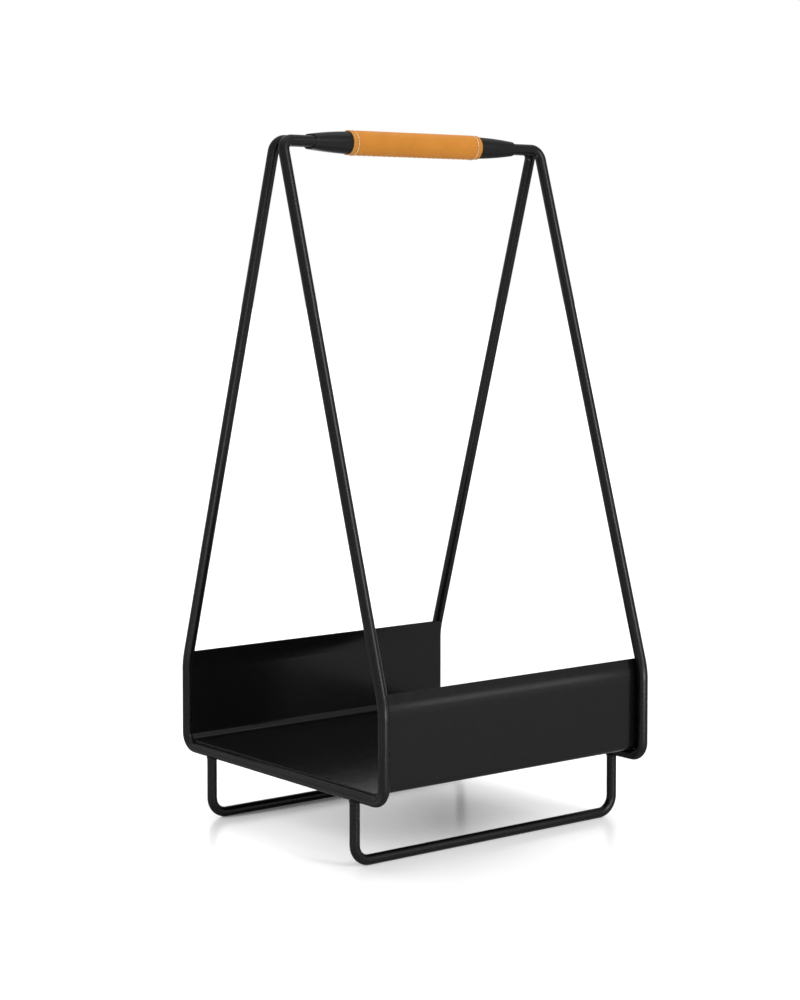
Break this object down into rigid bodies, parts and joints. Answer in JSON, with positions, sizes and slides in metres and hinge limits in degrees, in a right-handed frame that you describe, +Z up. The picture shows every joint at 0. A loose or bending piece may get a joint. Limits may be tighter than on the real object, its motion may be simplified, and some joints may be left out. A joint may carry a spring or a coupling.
{
  "type": "firewood rack",
  "caption": "Free-standing firewood rack: bent steel rod A-frames carry a bent sheet tray on sled feet and meet in a leather-wrapped carrying handle.",
  "frame": {"origin": "on the floor, under the middle of the rack", "axes": "+Z up, +X along the handle and the tray walls, +Y from the front wall to the back wall"},
  "size_m": [0.31, 0.31, 0.6337],
  "materials": {
    "black_powder_coat": "satin black powder coat on steel rod",
    "black_sheet": "satin black powder coat on steel sheet",
    "bare_steel": "bare steel tube, hidden under the leather",
    "tan_leather": "smooth tan leather with fine grain",
    "cream_thread": "waxed pale thread"
  },
  "bodies": {
    "root": {"left_end_frame": "black_powder_coat", "right_end_frame": "black_powder_coat", "front_sled_foot": "black_powder_coat", "rear_sled_foot": "black_powder_coat", "log_tray": "black_sheet", "handle_core": "bare_steel", "left_handle_taper": "black_powder_coat", "right_handle_taper": "black_powder_coat", "leather_grip": "tan_leather", "left_edge_stitches": "cream_thread", "right_edge_stitches": "cream_thread", "grip_seam_stitches": "cream_thread", "front_left_foot_weld": "black_powder_coat", "front_right_foot_weld": "black_powder_coat", "rear_left_foot_weld": "black_powder_coat", "rear_right_foot_weld": "black_powder_coat", "left_tray_welds": "black_powder_coat", "right_tray_welds": "black_powder_coat"}
  },
  "joints": []
}
